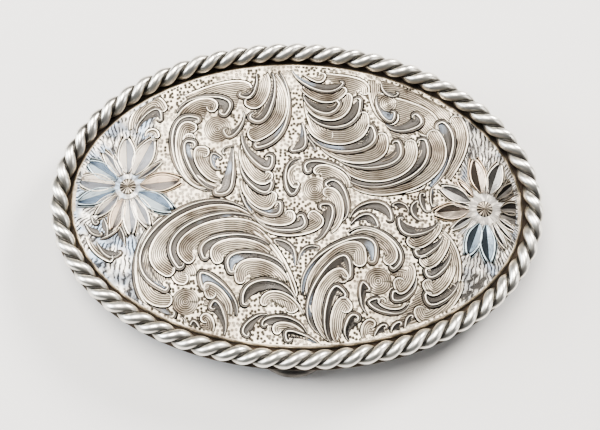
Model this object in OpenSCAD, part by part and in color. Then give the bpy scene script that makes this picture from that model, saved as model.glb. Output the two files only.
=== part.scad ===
// Oval western belt buckle, lying face up.
// +X runs along the long side, +Y across it, +Z up out of the engraved face.
// The origin is on the surface it lies on, under the middle of the oval.

/* [Oval] */
// Overall width across the rope
buckle_w = 89; // [80:0.5:100]
// Overall height across the rope
buckle_h = 59.5; // [52:0.5:66]
// How far the two ends fall below the middle
bow_drop = 2.6; // [1.5:0.1:4]
// Height of the back of the plate above the surface, at the middle
back_z = 8.2; // [8.1:0.1:10]

/* [Rope edge] */
// Thickness of the rope
rope_d = 3.4; // [2.8:0.1:3.8]
// Turns that the two strands make round the ring, in halves
rope_turns = 31.5; // [27.5:0.5:34.5]
// Radius of a strand, as a share of the rope's radius
strand_share = 0.56; // [0.5:0.01:0.6]
// How deep the grooves between strands run, as a share of the rope's radius
groove_depth = 0.40; // [0.2:0.02:0.5]
// Where the first strand stands at the right-hand end, in degrees
rope_start = 31.5; // [0:0.5:179.5]

/* [Plate] */
// Thickness of the flange under the rope
flange_t = 1.0; // [0.8:0.1:1.4]
// Height of the engraved panel above the flange
panel_t = 1.2; // [0.8:0.1:1.6]
// Space between the panel's side and the rope
panel_gap = 0.2; // [0.12:0.02:0.4]

/* [Scrolls] */
// How far the scrolls and petals stand above the panel
relief = 0.3; // [0.2:0.05:0.5]
// Width of a raised scroll, as a share of its leaf
rib_share = 0.5; // [0.35:0.05:0.6]
// Width of the plain rim left round the scrolls
rim_w = 0.6; // [0.4:0.1:1.2]

/* [Belt loop] */
// Overall length of the loop, across the belt
loop_len = 61.2; // [56:0.2:64]
// Overall width of the loop, along the belt
loop_w = 15; // [14:0.5:18]
// Thickness of the loop's wire
wire_d = 2.8; // [2.4:0.1:3]
// Outer diameter of the sleeve that holds the loop
sleeve_d = 4.6; // [4.4:0.1:5]
// Length of the sleeve
sleeve_len = 36; // [24:1:40]

/* [Hook] */
// Distance of the hook's foot from the middle
hook_x = 29; // [24:1:34]
// Thickness of the hook's post
hook_d = 3.8; // [3.2:0.1:4.4]
// How far the post leans outwards, in degrees
hook_lean = 20; // [10:1:22]
// Length of the bare post, from its collar to the middle of its round end
pin_len = 2.8; // [2.4:0.1:2.8]
// Diameter of the collar that joins the post to its foot
collar_d = 5.4; // [5:0.1:6]
// Diameter of the hook's foot
foot_d = 10; // [8:0.5:12]
// Thickness of the hook's foot
foot_t = 1.0; // [0.8:0.1:1.2]

/* [Hidden] */

// Seat between one piece and the piece that carries it
seat = 0.05;
back_seat = 0.1;
oval_sides = 180;
bow_sides = 1440;
far = 90;

rope_r = rope_d / 2;
ring_a = buckle_w / 2 - rope_r;
ring_b = buckle_h / 2 - rope_r;
bow_r = (ring_a * ring_a + bow_drop * bow_drop) / (2 * bow_drop);
bow_z = back_z - bow_r;
panel_a = ring_a - rope_r - panel_gap;
panel_b = ring_b - rope_r - panel_gap;

// Height of a surface that lies h above the back of the plate, at x
function bow_at(x, h) = bow_z + sqrt((bow_r + h) * (bow_r + h) - x * x);

// Distance walked round the ring's oval against the angle of its equation
ring_steps = 720;
function oval_at(t) = [ring_a * cos(t), ring_b * sin(t)];
ring_walk = [
    for (i = 0, s = 0; i <= ring_steps; s = s + norm(oval_at(360 * (i + 1) / ring_steps)
        - oval_at(360 * i / ring_steps)), i = i + 1)
        [s, 360 * i / ring_steps]
];
ring_len = ring_walk[ring_steps][0];

// The rope's cross-section: two round strands pressed together, with their grooves cut short
strands = 2;
strand_sides = 7;
rope_sides = strands * strand_sides;
strand_r = strand_share * rope_r;
strand_e = rope_r - strand_r;
function strand_reach(d) = strand_e * cos(d) + sqrt(max(0, pow(strand_r, 2) - pow(strand_e * sin(d), 2)));
function section_r(j) =
    let (k = j % strand_sides, d = min(k, strand_sides - k) * 360 / rope_sides)
    max(strand_reach(d), rope_r * (1 - groove_depth));

// Each step along the ring turns the section by one twelfth of a circle
turn_steps = 12;
rope_steps = rope_turns * turn_steps;
// An odd number of half turns joins each strand to the other one
closing_shift = (rope_turns * rope_sides) % rope_sides;
rope_h = flange_t + seat + rope_r;

function rope_section(i) =
    let (
        t = lookup(ring_len * i / rope_steps, ring_walk),
        c = oval_at(t),
        slope = -c[0] / (bow_at(c[0], rope_h) - bow_z),
        along = [-ring_a * sin(t), ring_b * cos(t), -ring_a * sin(t) * slope],
        out = [ring_b * cos(t), ring_a * sin(t), 0] / norm([ring_b * cos(t), ring_a * sin(t)]),
        up = cross(out, along) / norm(along),
        turn = rope_start + 360 * i / turn_steps
    )
    [
        for (j = [0:rope_sides - 1])
            let (a = turn + 360 * j / rope_sides, r = section_r(j))
            [c[0], c[1], bow_at(c[0], rope_h)] + r * (out * cos(a) + up * sin(a))
    ];

// A solid oval standing on the surface, taller than the plate
module oval(a, b) {
    linear_extrude(2 * back_z)
        polygon([for (i = [0:oval_sides - 1]) [a * cos(360 * i / oval_sides), b * sin(360 * i / oval_sides)]]);
}

// All that lies under the bowed surface h above the back of the plate
module under_bow(h) {
    translate([0, 0, bow_z])
        rotate([90, 0, 0])
            cylinder(r = bow_r + h, h = far, center = true, $fn = bow_sides);
}

// The scroll leaves, each row read along its outer edge: the leaf's width, then the x and y
// of its root, first third, second third and tip
left_scrolls = [
    [1.6, -29.5, 12, -29, 15.2, -26.2, 17.2, -24.7, 14.2],
    [2.6, -22.6, 16, -18.5, 19.5, -13, 19.2, -13.5, 14.8],
    [1.7, -10.3, 16.6, -10.1, 13.6, -12.2, 11.2, -14.3, 13.2],
    [2.2, -15.2, 1.2, -22.2, 5.8, -23.2, 13.6, -17.5, 15.4],
    [2.4, -14.6, 1.6, -19.2, 4.4, -21.3, 9.7, -18, 10.8],
    [2.2, -11.7, 9.8, -11.1, 5.4, -11.6, 1.4, -15.3, 0.5],
    [2.2, -24.5, -3.2, -28.5, -10, -27.4, -18, -20.4, -21.8],
    [2.2, -7, -3.4, -19, -0.7, -27.7, -8.8, -22.2, -17.4],
    [2.4, -5, -5, -13.6, -2.2, -21.7, -6.1, -20.4, -13.5],
    [2.2, -4.5, -8, -10.2, -5.9, -16.1, -7.2, -16.3, -11.6],
    [2.3, -1.4, -13, -5.4, -9.4, -11.2, -9.4, -11.6, -14],
    [2.2, 0.6, -18.5, -3, -14.2, -8, -14.6, -9.4, -19.4],
    [2.4, -9.9, -21, -11.6, -15.6, -16.2, -12.7, -16.3, -17],
    [1.9, -12, -24.4, -11.6, -20.6, -13.4, -17.8, -15.3, -19.8],
];
middle_scrolls = [
    [2.2, -3.9, 24.6, -1.5, 18.5, -2.8, 12.1, -8.2, 9],
    [2.4, -5.2, 24.4, -4.3, 19.4, -6, 14.7, -9.9, 15.2],
    [1.8, -8.2, 24.2, -7.7, 21.2, -9, 18.9, -11.8, 19.4],
    [1.8, 0.6, 14.8, 1.5, 12.4, 1.4, 9.8, -1.8, 8.7],
    [2.2, -7.6, -2.6, -4.2, -5.7, 1, -5.5, 1, -1.7],
    [2.1, -9.2, 1, -7.4, -2.2, -3.6, -3.2, -2.6, 0.3],
    [2.1, -10.4, 7.2, -9.3, 3, -5.9, 0.8, -4, 3.9],
    [2.5, -10.4, 12.4, -9.1, 7.6, -5.6, 5.1, -4.1, 8.8],
    [2, 9.6, 4, 6.4, 7.3, 1.8, 7.8, 1.3, 4.6],
    [1.9, 7.8, -3.8, 9.5, 0, 7.6, 4, 4.2, 3.2],
    [2, 3, -7.4, 6, -5, 6.8, -1, 3.4, -0.3],
    [1.8, 0.6, 8, -2.7, 5.3, -1.8, 1.1, 0.7, 2.7],
    [1.7, -4.4, -20.4, -7.2, -20.6, -9.2, -22.8, -7.8, -24.8],
    [1.6, 2.4, -23.4, -0.8, -20.4, -4.8, -20.6, -5.6, -22.8],
    [2, 4.9, -25.6, 2.2, -23.4, -1.2, -22.6, -1.4, -25.6],
];
upper_right_scrolls = [
    [2.3, 1.6, 12.6, 6.6, 9, 13, 10.1, 13.3, 15.3],
    [2.4, 1.2, 16.4, 5.4, 13.5, 10, 14.7, 11.5, 20.2],
    [2.4, 0.4, 19.8, 2.4, 16.7, 5.6, 16, 8, 18.9],
    [1.6, -1.9, 24.8, 0.7, 21.6, 5, 20.3, 8.4, 22.6],
    [3.4, 24, 3.2, 27.3, 7.2, 28.7, 12.6, 25.8, 16.8],
    [3, 8.5, 4.2, 16, 2.8, 22.7, 6.6, 23.1, 13.2],
    [2.5, 6.5, 8.2, 12, 6, 17.9, 7.5, 18.2, 12.6],
    [1.7, 14, 20.5, 14.1, 17, 16.4, 15, 17.8, 17.7],
    [2.2, 15.5, 14.8, 19.1, 13.3, 22.6, 14.9, 21, 18],
];
lower_right_scrolls = [
    [2.4, 1.2, -17, 4.2, -9, 12, -5.7, 14.2, -11.4],
    [2.6, 4.9, -24, 2.3, -16.2, 7.3, -9.3, 10.2, -14.2],
    [2.2, 6.6, -25.2, 4.8, -20.2, 6.2, -15, 9.8, -16.8],
    [2.2, 9.4, -24.6, 8.4, -22, 9.6, -19.6, 12, -20.4],
    [1.6, 12.6, -19.8, 11, -17, 11.4, -14, 13.7, -15.6],
    [1.8, 20.2, -17.8, 16.6, -20, 12.7, -18.4, 14.9, -16.4],
    [1.8, 9.2, -3, 11.7, 0.2, 15.6, 0.4, 17.3, -3.5],
    [1.7, 9.4, -4, 11.4, -1.8, 13.6, -1.9, 15, -4.5],
    [2.2, 9, -5.4, 14.6, -4.5, 18.9, -8.2, 17, -12.6],
    [2.4, 29, -13.4, 27, -17, 23.8, -18.4, 22.2, -15.3],
    [2, 27.6, -8.4, 26.4, -11.9, 23.8, -13.5, 22.3, -11.2],
    [1.9, 26.2, -5.4, 24.8, -8.2, 22, -9.8, 20.5, -7.8],
    [1.9, 25.4, -3, 22.9, -5.4, 19.2, -5.8, 17.6, -2],
    [1.9, 21.3, -12.6, 20.4, -16.6, 17.4, -17.8, 16.9, -15],
];

// The two daisies: where each stands, then its petals' directions, lengths and widths
left_daisy = [-30.5, 2.1];
left_petals = [
    [7, 9.2, 3], [65, 9.4, 3.3], [95.5, 8.9, 3], [127, 7.8, 1.7], [149, 8.4, 2.6], [173, 9, 3],
    [-162, 9.2, 2.6], [-134, 7.2, 1.9], [-106, 8.2, 2.3], [-82, 8.7, 2.2], [-60, 8.3, 1.9], [-28, 9.1, 3],
];
right_daisy = [33.7, -0.1];
right_petals = [
    [3, 6.8, 2.4], [42, 7.4, 1.8], [73, 9.4, 2.7], [100, 9.6, 3], [156, 8.8, 2.8],
    [191, 9, 3], [250, 9.6, 2.7], [273, 10, 2.7], [298, 8.4, 1.8], [343, 7, 2.4],
];
// Distance of a petal's narrow end from the daisy's middle
petal_from = 1.9;
// A petal's form: the share of the way from its narrow end to its tip, then the share of its width
petal_shape = [[0, 0.2], [0.25, 0.72], [0.5, 1], [0.75, 0.76], [1, 0]];

// A point of the smooth curve through a leaf's four points, t of the way along it
function leaf_at(v, t) =
    let (u = 3 * t)
    -(u - 1) * (u - 2) * (t - 1) / 2 * [v[1], v[2]] + 9 * t * (u - 2) * (t - 1) / 2 * [v[3], v[4]]
    - 9 * t * (u - 1) * (t - 1) / 2 * [v[5], v[6]] + t * (u - 1) * (u - 2) / 2 * [v[7], v[8]];

// Outline of a raised scroll: along the leaf's outer edge, round its tip and back inside it
rib_steps = 12;
tip_steps = 5;
function rib_outline(v) =
    let (
        chord = [v[7] - v[1], v[8] - v[2]],
        belly = leaf_at(v, 0.5) - [v[1], v[2]],
        side = chord[0] * belly[1] - chord[1] * belly[0] > 0 ? -1 : 1,
        end = 1 - 0.3 * v[0] / norm(chord),
        edge = [for (k = [0:rib_steps]) leaf_at(v, end * k / rib_steps)],
        inward = [
            for (k = [0:rib_steps])
                let (d = leaf_at(v, end * k / rib_steps + 0.01) - leaf_at(v, end * k / rib_steps - 0.01))
                [-d[1], d[0]] * side / norm(d)
        ],
        w = rib_share * v[0],
        inner = [for (k = [0:rib_steps]) edge[k] + inward[k] * w * min(1, 0.2 + 1.6 * k / rib_steps)],
        middle = (edge[rib_steps] + inner[rib_steps]) / 2,
        out = (edge[rib_steps] - inner[rib_steps]) / 2,
        ahead = [-out[1], out[0]] * -side
    )
    concat(
        edge,
        [for (k = [1:tip_steps - 1]) middle + out * cos(180 * k / tip_steps) + ahead * sin(180 * k / tip_steps)],
        [for (k = [rib_steps:-1:0]) inner[k]]
    );

// Outline of a pointed petal that starts beside the daisy's middle
function petal_outline(c, v) =
    let (
        ahead = [cos(v[0]), sin(v[0])],
        across = [-sin(v[0]), cos(v[0])],
        reach = v[1] - petal_from
    )
    concat(
        [for (p = petal_shape) c + (petal_from + p[0] * reach) * ahead + p[1] * v[2] / 2 * across],
        [for (k = [len(petal_shape) - 2:-1:0])
            let (p = petal_shape[k])
            c + (petal_from + p[0] * reach) * ahead - p[1] * v[2] / 2 * across]
    );

// The raised scrolls and petals, as tall columns
module scrolls() {
    for (rows = [left_scrolls, middle_scrolls, upper_right_scrolls, lower_right_scrolls], v = rows)
        linear_extrude(2 * back_z)
            polygon(rib_outline(v));
    for (v = left_petals)
        linear_extrude(2 * back_z)
            polygon(petal_outline(left_daisy, v));
    for (v = right_petals)
        linear_extrude(2 * back_z)
            polygon(petal_outline(right_daisy, v));
}

module face_plate() {
    color([0.80, 0.77, 0.72])
        difference() {
            union() {
                intersection() {
                    scrolls();
                    oval(panel_a - rim_w, panel_b - rim_w);
                    under_bow(flange_t + panel_t + relief);
                }
                intersection() {
                    oval(ring_a + rope_r - seat, ring_b + rope_r - seat);
                    under_bow(flange_t);
                }
                intersection() {
                    oval(panel_a, panel_b);
                    under_bow(flange_t + panel_t);
                }
            }
            under_bow(0);
        }
}

module rope_edge() {
    sections = [for (i = [0:rope_steps - 1]) each rope_section(i)];
    faces = [
        for (i = [0:rope_steps - 1], j = [0:rope_sides - 1])
            let (
                i2 = (i + 1) % rope_steps,
                j2 = (j + 1) % rope_sides,
                shift = i2 == 0 ? closing_shift : 0,
                a = i * rope_sides + j,
                b = i * rope_sides + j2,
                c = i2 * rope_sides + (j2 + shift) % rope_sides,
                d = i2 * rope_sides + (j + shift) % rope_sides
            )
            each [[a, b, c], [a, c, d]]
    ];
    color([0.72, 0.72, 0.71]) polyhedron(points = sections, faces = faces, convexity = 6);
}

loop_r = (loop_w - wire_d) / 2;
loop_z = sleeve_d / 2;
loop_side = loop_len - loop_w;

module belt_loop() {
    block_top = bow_at(loop_r + sleeve_d / 2, 0) - back_seat;
    color([0.62, 0.61, 0.58])
        union() {
            for (s = [-1, 1]) {
                translate([s * loop_r, 0, loop_z])
                    rotate([90, 0, 0])
                        cylinder(d = wire_d, h = loop_side, center = true, $fn = 32);
                translate([0, s * loop_side / 2, loop_z])
                    rotate([0, 0, s > 0 ? 0 : 180])
                        rotate_extrude(angle = 180, $fn = 96)
                            translate([loop_r, 0])
                                circle(d = wire_d, $fn = 32);
            }
            translate([-loop_r, 0, loop_z])
                rotate([90, 0, 0])
                    cylinder(d = sleeve_d, h = sleeve_len, center = true, $fn = 48);
            translate([-loop_r - sleeve_d / 2, -sleeve_len / 2, loop_z])
                cube([sleeve_d, sleeve_len, block_top - loop_z]);
        }
}

// The foot lies square to the bowed back, and a square collar carries the leaning post
foot_tilt = asin(hook_x / bow_r);
foot_z = bow_at(hook_x, 0);
tip_z = hook_d / 2;
post_len = (foot_z - foot_t - tip_z) / cos(hook_lean);

module hook() {
    color([0.62, 0.61, 0.58])
        union() {
            translate([hook_x, 0, foot_z])
                rotate([0, foot_tilt, 0])
                    translate([0, 0, -back_seat - foot_t])
                        cylinder(d = foot_d, h = foot_t, $fn = 128);
            intersection() {
                translate([hook_x + post_len * sin(hook_lean), 0, tip_z])
                    rotate([0, -hook_lean, 0]) {
                        sphere(d = hook_d, $fn = 96);
                        cylinder(d = hook_d, h = pin_len, $fn = 96);
                        translate([0, 0, pin_len])
                            cylinder(d = collar_d, h = post_len, $fn = 96);
                    }
                translate([hook_x - foot_d, -foot_d, 0])
                    cube([2 * foot_d, 2 * foot_d, foot_z - back_seat - foot_t / 2]);
            }
        }
}

face_plate();
rope_edge();
belt_loop();
hook();
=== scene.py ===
# Oval western belt buckle: the finish and fine detail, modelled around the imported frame.
# Sizes are in millimetres and become metres where a point is placed.
from math import cos, dist, hypot, pi, radians, sin, sqrt, tau

import bmesh
import bpy
from mathutils import Matrix, Vector


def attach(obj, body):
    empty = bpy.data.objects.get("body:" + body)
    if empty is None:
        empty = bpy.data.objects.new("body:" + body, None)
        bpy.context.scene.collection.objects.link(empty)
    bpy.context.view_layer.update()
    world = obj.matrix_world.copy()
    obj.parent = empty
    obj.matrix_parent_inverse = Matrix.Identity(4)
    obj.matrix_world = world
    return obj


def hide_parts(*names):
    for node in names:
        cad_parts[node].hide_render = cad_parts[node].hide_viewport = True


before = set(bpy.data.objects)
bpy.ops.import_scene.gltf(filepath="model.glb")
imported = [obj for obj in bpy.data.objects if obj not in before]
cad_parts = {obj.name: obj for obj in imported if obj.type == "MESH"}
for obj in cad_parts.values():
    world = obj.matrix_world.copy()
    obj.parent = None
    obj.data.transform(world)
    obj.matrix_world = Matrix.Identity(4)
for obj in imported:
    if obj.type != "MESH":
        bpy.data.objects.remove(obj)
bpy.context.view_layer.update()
mm = 0.001
print("frame loaded:", ", ".join(sorted(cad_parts)))

buckle = {
    "width": 89.0,          # over the rope
    "height": 59.5,
    "bowDrop": 2.6,         # how far the ends fall below the middle
    "backZ": 8.2,           # back of the plate above the floor, at the middle
    "ropeThickness": 3.4,
    "seat": 0.05,           # clearance under the rope
    "flange": 1.0,
    "panel": 1.2,           # engraved panel above the flange
    "panelGap": 0.2,        # between the panel's side and the rope
    "crown": 0.35,          # rise of the panel's middle over its rim
    "engraved": 0.965,      # share of the panel that the engraving may reach
}
ropeR = buckle["ropeThickness"] / 2
ringA = buckle["width"] / 2 - ropeR
ringB = buckle["height"] / 2 - ropeR
bowR = (ringA ** 2 + buckle["bowDrop"] ** 2) / (2 * buckle["bowDrop"])
bowZ = buckle["backZ"] - bowR
panelA = ringA - ropeR - buckle["panelGap"]
panelB = ringB - ropeR - buckle["panelGap"]
topH = buckle["flange"] + buckle["panel"]


def bowAt(x, h):
    return bowZ + sqrt((bowR + h) ** 2 - x ** 2)


def onBow(x, y, h):  # a point h above the plate's bowed back
    return Vector((x, y, bowAt(x, h))) * mm


def onPanel(x, y, lift):  # a point of the engraved face, kept inside the panel's rim
    rho = hypot(x / panelA, y / panelB)
    limit = buckle["engraved"]
    if rho > limit:
        x, y, rho = x * limit / rho, y * limit / rho, limit
    return onBow(x, y, topH + buckle["crown"] * (1 - rho ** 2) + lift)


# Meshes

def gridPatch(bm, marks, rows, columns, place):
    # a grid whose corner (i, j) stands where place says, with its two texture marks
    for vert in bmesh.ops.create_grid(bm, x_segments=rows, y_segments=columns, size=1.0)["verts"]:
        i = round((vert.co.x + 1) / 2 * rows)
        j = round((vert.co.y + 1) / 2 * columns)
        vert.co, marks[vert] = place(i, j)


def writeMarks(bm, marks):
    uv = bm.loops.layers.uv.new("lines")
    for face in bm.faces:
        for loop in face.loops:
            loop[uv].uv = marks.get(loop.vert, (0.0, 0.0))


def newVerts(made):
    return [v for v in made["geom"] if isinstance(v, bmesh.types.BMVert)]


def closeBelow(bm, depth):
    # thin sheets become closed bodies whose undersides lie inside the plate
    made = bmesh.ops.extrude_face_region(bm, geom=bm.faces[:], use_keep_orig=True)
    bmesh.ops.translate(bm, verts=newVerts(made), vec=(0, 0, -depth * mm))
    bmesh.ops.recalc_face_normals(bm, faces=bm.faces[:])


def weld(bm, distance):
    # joins the seam and the poles of a patch that meets itself
    bmesh.ops.remove_doubles(bm, verts=bm.verts[:], dist=distance * mm)
    bmesh.ops.recalc_face_normals(bm, faces=bm.faces[:])


def evenSteps(walked, length, count):
    # where even steps fall on a curve: the number of the piece that each is in, and its share of it
    k = 0
    for step in range(count + 1):
        want = length * step / count
        while k < len(walked) - 2 and walked[k + 1] < want:
            k += 1
        yield k, (want - walked[k]) / (walked[k + 1] - walked[k])


def addObject(name, data):
    thing = bpy.data.objects.new(name, data)
    bpy.context.collection.objects.link(thing)
    return thing


def addMesh(name, bm, materials):
    mesh = bpy.data.meshes.new(name)
    bm.to_mesh(mesh)
    bm.free()
    mesh.shade_smooth()
    for material in materials:
        mesh.materials.append(material)
    return addObject(name, mesh)


def finishPiece(name, bm, materials):
    piece = addMesh(name, bm, materials)
    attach(piece, "root")
    return piece


# Nodes

def addNode(tree, kind, links=None, **settings):
    node = tree.nodes.new("ShaderNode" + kind)
    for key, value in settings.items():
        setattr(node, key, value)
    for key, value in (links or {}).items():
        if isinstance(value, bpy.types.NodeSocket):
            tree.links.new(value, node.inputs[key])
        else:
            node.inputs[key].default_value = value
    return node


def addMath(tree, operation, *values):
    return addNode(tree, "Math", dict(enumerate(values)), operation=operation).outputs[0]


def times(tree, first, second, plus=None):
    # first times second, plus a third value where one is given
    if plus is None:
        return addMath(tree, "MULTIPLY", first, second)
    return addMath(tree, "MULTIPLY_ADD", first, second, plus)


def addRange(tree, value, fromLow, fromHigh, toLow=0.0, toHigh=1.0):
    links = {0: value, 1: fromLow, 2: fromHigh, 3: toLow, 4: toHigh}
    return addNode(tree, "MapRange", links).outputs[0]


def addNoise(tree, place, scale, detail, roughness=0.5):
    links = {"Vector": place, "Scale": scale, "Detail": detail, "Roughness": roughness}
    return addNode(tree, "TexNoise", links).outputs[0]


def toneOf(tone):  # a colour is given as a tone of the silver or as its own three numbers
    return silver[tone] if isinstance(tone, str) else tone


def addRamp(tree, factor, stops):
    node = addNode(tree, "ValToRGB", {0: factor})
    ramp = node.color_ramp
    for k, (place, colour) in enumerate(stops):
        stop = ramp.elements[k] if k < 2 else ramp.elements.new(place)
        stop.position = place
        stop.color = (*toneOf(colour), 1.0)
    return node.outputs[0]


def addMix(tree, factor, first, second, blend="MIX"):
    links = {0: factor}
    for key, value in ((6, first), (7, second)):
        links[key] = value if isinstance(value, bpy.types.NodeSocket) else (*toneOf(value), 1.0)
    return addNode(tree, "Mix", links, data_type="RGBA", blend_type=blend).outputs[2]


def readMarks(tree):
    # the two texture marks of a patch
    marks = addNode(tree, "UVMap", uv_map="lines").outputs[0]
    return addNode(tree, "SeparateXYZ", {0: marks}).outputs


def newGroup(name, inputs):
    # an input with no default is a vector, the others are numbers
    group = bpy.data.node_groups.new(name, "ShaderNodeTree")
    for label, value in inputs.items():
        kind = "NodeSocketVector" if value is None else "NodeSocketFloat"
        socket = group.interface.new_socket(label, in_out="INPUT", socket_type=kind)
        if value is not None:
            socket.default_value = value
    return group, group.nodes.new("NodeGroupInput").outputs


def closeGroup(group, outputs):
    for label in outputs:
        group.interface.new_socket(label, in_out="OUTPUT", socket_type="NodeSocketFloat")
    out = group.nodes.new("NodeGroupOutput").inputs
    for label, value in outputs.items():
        group.links.new(value, out[label])
    return group


# Shared effects

def makeTarnish():
    # soft blotches of dulling and a fine grain of pits, for every metal here
    group, given = newGroup("tarnish", {"Vector": None, "Blotch": 220.0, "Grain": 5200.0})
    blotch = addNoise(group, given["Vector"], given["Blotch"], 5.0, 0.62)
    grain = addNoise(group, given["Vector"], given["Grain"], 2.0, 0.7)
    return closeGroup(group, {
        "Dulling": addRange(group, blotch, 0.38, 0.66),
        "Pits": addRange(group, grain, 0.3, 0.7),
    })


def makeCutLines():
    # fine graver lines at an even spacing across a surface, a little uneven in course and depth
    group, given = newGroup("cutLines", {"Across": 0.0, "Spacing": 0.34, "Vector": None})
    wander = addNoise(group, given["Vector"], 420.0, 2.0)
    turns = addMath(group, "DIVIDE", times(group, wander, 0.22, given["Across"]), given["Spacing"])
    wave = addMath(group, "SINE", times(group, turns, tau))
    height = times(group, wave, 0.5, 0.5)
    line = addRange(group, height, 0.68, 0.26)
    depth = addRange(group, wander, 0.25, 0.7, 0.75, 1.0)
    return closeGroup(group, {"Line": times(group, line, depth), "Height": height})


tarnish = makeTarnish()
cutLines = makeCutLines()
lineSpacing = {"leaf": 0.36, "hollow": 0.27, "petal": 0.045, "heart": 0.45}  # across the piece's own marks
bumpDepth = {"ground": 0.10, "leaf": 0.06, "heart": 0.05, "smooth": 0.02, "rope": 0.005}


def addCutLines(tree, across, spacing, place):
    links = {"Across": across, "Spacing": lineSpacing[spacing], "Vector": place}
    return addNode(tree, "Group", links, node_tree=cutLines).outputs


def newMetal(name, rough, spread=0.08, metallic=1.0):
    # its roughness lies within spread of rough, and is higher where the metal is tarnished
    material = bpy.data.materials.new(name)
    material.use_nodes = True
    tree = material.node_tree
    shader = tree.nodes["Principled BSDF"].inputs
    place = addNode(tree, "TexCoord").outputs["Object"]
    dulling, pits = addNode(tree, "Group", {"Vector": place}, node_tree=tarnish).outputs
    shader["Metallic"].default_value = metallic
    shader["Roughness"].default_value = rough
    tree.links.new(addRange(tree, dulling, 0.0, 1.0, rough - spread, rough + spread), shader["Roughness"])
    return material, tree, place, dulling, pits


def finishMetal(material, colour, height, depth):
    tree = material.node_tree
    shader = tree.nodes["Principled BSDF"].inputs
    tree.links.new(colour, shader["Base Color"])
    links = {"Height": height, "Distance": bumpDepth[depth] * mm, "Strength": 1.0}
    tree.links.new(addNode(tree, "Bump", links).outputs[0], shader["Normal"])
    return material


# The two daisies: each row is a petal, given by its direction, length, width and painted tint

petalShape = {
    "rows": 18,
    "widest": 0.52,    # share of its length where a petal is widest
    "ridge": 0.26,     # width of the bright ridge round a petal
    "rise": 0.006,     # each petal lies this much over the one before it
    "point": 1.1,      # how far the ridge runs on past the petal's point
    "depth": 0.3,      # how far the petal's underside lies in the plate
    "least": (0.06, 0.03),     # share of its width at the root and at the point
    "curve": (0.85, 0.72),     # the lower, the fuller the petal is there
    "rootRidge": (0.3, 2.2),   # share of the ridge's width at the root, and how fast it grows
    "rootRise": (0.45, 2.0),   # the same for its height
}
# Painted tints that multiply a petal's colours: cool and warm painted reflections, painted shade, and plain,
# which leaves them nearly as they are
petalSheenAndShade = {
    "plain": (0.97, 0.97, 0.98),
    "cool": (0.62, 0.80, 1.0),
    "warm": (1.0, 0.88, 0.78),
    "dark": (0.26, 0.25, 0.24),
}
daisies = {
    "left": {
        "centre": (-30.5, 2.1),
        "start": 2.3,       # distance of a petal's narrow end from the middle
        "paintedShadeSide": -27,    # the direction that the facets with painted shade look to
        "petals": [
            (38, 7.2, 1.3, "plain"), (116, 6.4, 1.2, "plain"), (-148, 6.4, 1.2, "plain"),
            (-94, 6.4, 1.0, "plain"), (-71, 6.4, 1.0, "plain"), (-45, 6.6, 1.2, "plain"),
            (127, 7.8, 1.7, "plain"), (149, 8.6, 2.8, "cool"), (173, 9.2, 3.2, "plain"),
            (-162, 9.2, 2.8, "cool"), (-134, 7.4, 2.1, "plain"), (-106, 8.2, 2.4, "warm"),
            (-82, 8.7, 2.4, "plain"), (-60, 8.3, 2.1, "plain"), (-28, 9.1, 3.0, "cool"),
            (7, 9.2, 3.1, "warm"), (65, 9.4, 3.4, "plain"), (95.5, 8.9, 3.1, "plain"),
        ],
    },
    "right": {
        "centre": (33.7, -0.1),
        "start": 2.9,
        "paintedShadeSide": 153,
        "petals": [
            (30, 6.4, 1.0, "dark"), (54, 7.0, 1.0, "dark"), (86, 6.0, 1.0, "plain"),
            (135, 6.6, 1.4, "warm"), (173, 5.8, 1.1, "plain"), (214, 7.0, 1.5, "plain"),
            (326, 6.6, 1.3, "plain"), (311, 7.2, 1.2, "plain"), (3, 6.8, 2.4, "dark"),
            (42, 7.4, 1.8, "dark"), (343, 7.0, 2.4, "dark"), (298, 7.8, 1.4, "plain"),
            (101, 9.0, 2.8, "warm"), (71, 8.8, 2.8, "plain"), (156, 8.4, 2.5, "plain"),
            (188, 8.8, 2.7, "warm"), (250, 8.8, 2.6, "cool"), (274, 9.4, 2.7, "cool"),
        ],
    },
}

# Colours of the metal, bright, dull, cut or hollow, with painted shade and painted reflections
silver = {
    "ground": (1.0, 0.893, 0.735),
    "groundDull": (0.68, 0.58, 0.455),
    "punchMark": (0.027, 0.024, 0.020),
    "endLight": (0.95, 0.89, 0.81),     # the two ends, cut with facets round the daisies
    # painted cool reflection on the two ends
    "endCoolReflection": (0.42, 0.53, 0.68),
    # painted shade on the ends' facets, also at each petal's foot
    "endShadeGrey": (0.17, 0.165, 0.16),
    "endCut": (0.017, 0.016, 0.016),
    "hatchLand": (0.62, 0.545, 0.445),
    "hatchDull": (0.20, 0.165, 0.13),
    "hatchCut": (0.009, 0.008, 0.007),
    "field": (0.085, 0.081, 0.077),
    "fieldDark": (0.042, 0.040, 0.038),
    # a painted cool reflection on a few hollows
    "fieldCoolReflection": (0.155, 0.18, 0.215),
    # painted shade along the edges of a hollow
    "fieldEdgeShade": (0.026, 0.0245, 0.023),
    "outline": (0.006, 0.0055, 0.005),
    "rim": (0.092, 0.085, 0.077),
    "rimShade": (0.62, 0.60, 0.57),
    "bright": (0.88, 0.81, 0.70),
    "facetPaleInLight": (0.42, 0.375, 0.32),   # the left daisy's facets in painted light; the next are in painted shade
    "facetGreyInShade": (0.13, 0.135, 0.145),
    "facetInLight": (0.62, 0.60, 0.57),   # the right daisy's facets in painted light; the next are in painted shade
    "facetInShade": (0.022, 0.021, 0.020),
    "edge": (0.80, 0.70, 0.56),
    "edgeDull": (0.16, 0.13, 0.10),
    "crevice": (0.15, 0.115, 0.085),
    "creviceDull": (0.035, 0.027, 0.020),
    # the back, the loop and the hook, darkened as painted shade under the buckle
    "back": (0.24, 0.228, 0.21),
    "backDull": (0.13, 0.122, 0.112),
    "core": (0.09, 0.085, 0.078),
    "coreDull": (0.035, 0.033, 0.03),
    "strandDull": (0.24, 0.23, 0.21),
}

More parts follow.
